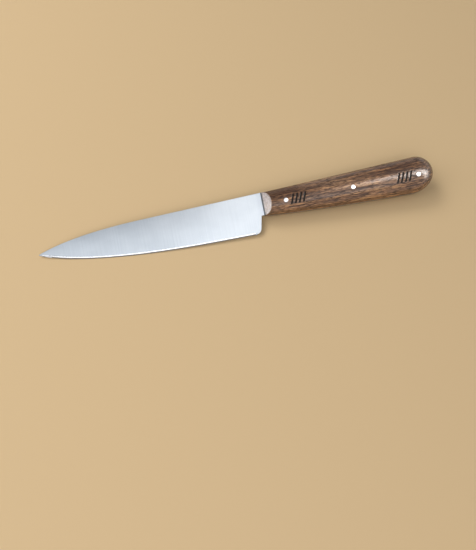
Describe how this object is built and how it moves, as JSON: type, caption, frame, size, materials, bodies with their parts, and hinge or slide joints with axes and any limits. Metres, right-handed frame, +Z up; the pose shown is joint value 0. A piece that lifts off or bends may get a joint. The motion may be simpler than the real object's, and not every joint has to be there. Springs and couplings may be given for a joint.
{
  "type": "kitchen knife",
  "caption": "Kitchen knife with a flat-ground steel blade on a full tang, pinned wooden handle scales with bevelled front ends and a rounded butt, lying on its side.",
  "frame": {"origin": "under the middle of the knife's box, on the surface that it lies on", "axes": "+X from the tip to the butt, +Y from the cutting edge towards the spine, +Z up, out of the knife's left side"},
  "size_m": [0.2406, 0.028, 0.0183],
  "materials": {
    "steel": "fine satin lines across the blade",
    "walnut": "oiled, satin",
    "pin_metal": "ground flush, bright"
  },
  "bodies": {
    "root": {"blade": "steel", "left_scale": "walnut", "right_scale": "walnut", "front_pin": "pin_metal", "middle_pin": "pin_metal", "rear_pin": "pin_metal"}
  },
  "joints": []
}
